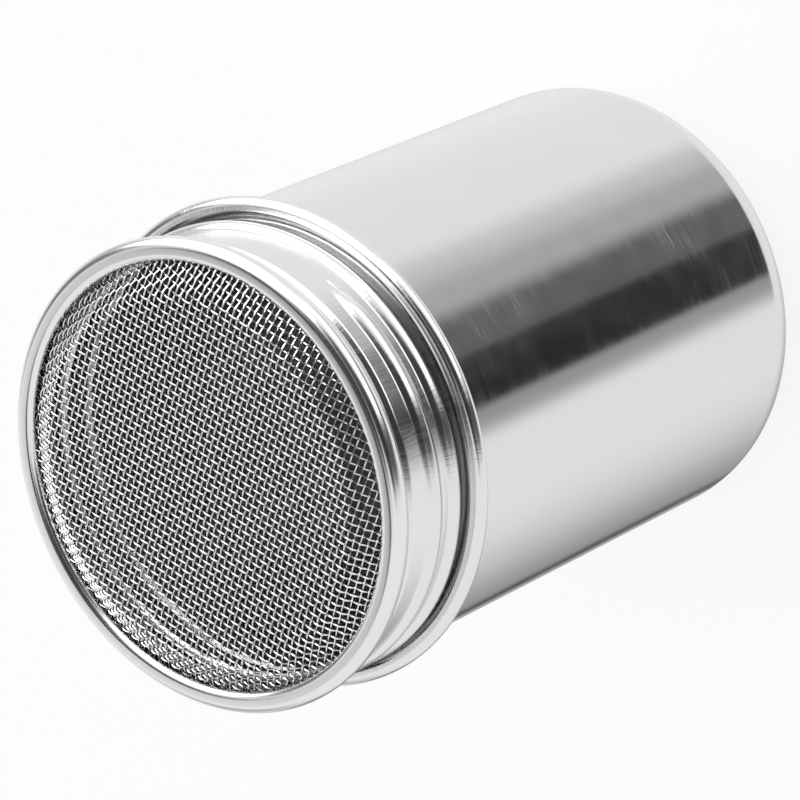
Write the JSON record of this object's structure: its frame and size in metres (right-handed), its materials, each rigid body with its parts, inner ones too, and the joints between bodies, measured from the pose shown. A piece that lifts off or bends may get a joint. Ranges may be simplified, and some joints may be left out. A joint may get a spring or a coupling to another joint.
{
  "type": "flour sifter",
  "caption": "Hand-held steel flour sifter: drawn can with a screw-on lid topped by a raised pan of fine woven wire mesh.",
  "frame": {"origin": "centre of the can's base, on the surface that it stands on", "axes": "+Z along the can's axis towards the mesh; -Y is the front, where the lid's thread angle is zero"},
  "size_m": [0.07, 0.07, 0.1002],
  "materials": {
    "can_steel": "polished, with faint brushing round the wall",
    "lid_steel": "polished",
    "rim_steel": "polished",
    "wire_steel": "bright drawn wire"
  },
  "bodies": {
    "can": {"can_body": "can_steel"},
    "rim": {"lid_rim_ring": "rim_steel"},
    "lid": {"lid_collar": "lid_steel", "mesh_warp_wires": "wire_steel", "mesh_weft_wires": "wire_steel"}
  },
  "joints": [
    {"name": "lid_rise", "type": "slide", "parent": "can", "child": "rim", "axis": [0, 0, 1], "range_m": [0, 0.01761]},
    {"name": "lid_turn", "type": "hinge", "parent": "rim", "child": "lid", "pos_m": [0, 0, 0.09], "axis": [0, 0, 1], "range_deg": [0, 1440]}
  ],
  "couplings": [
    {"joint": "lid_rise", "follows": "lid_turn", "m_per_rad": 0.00070028}
  ]
}
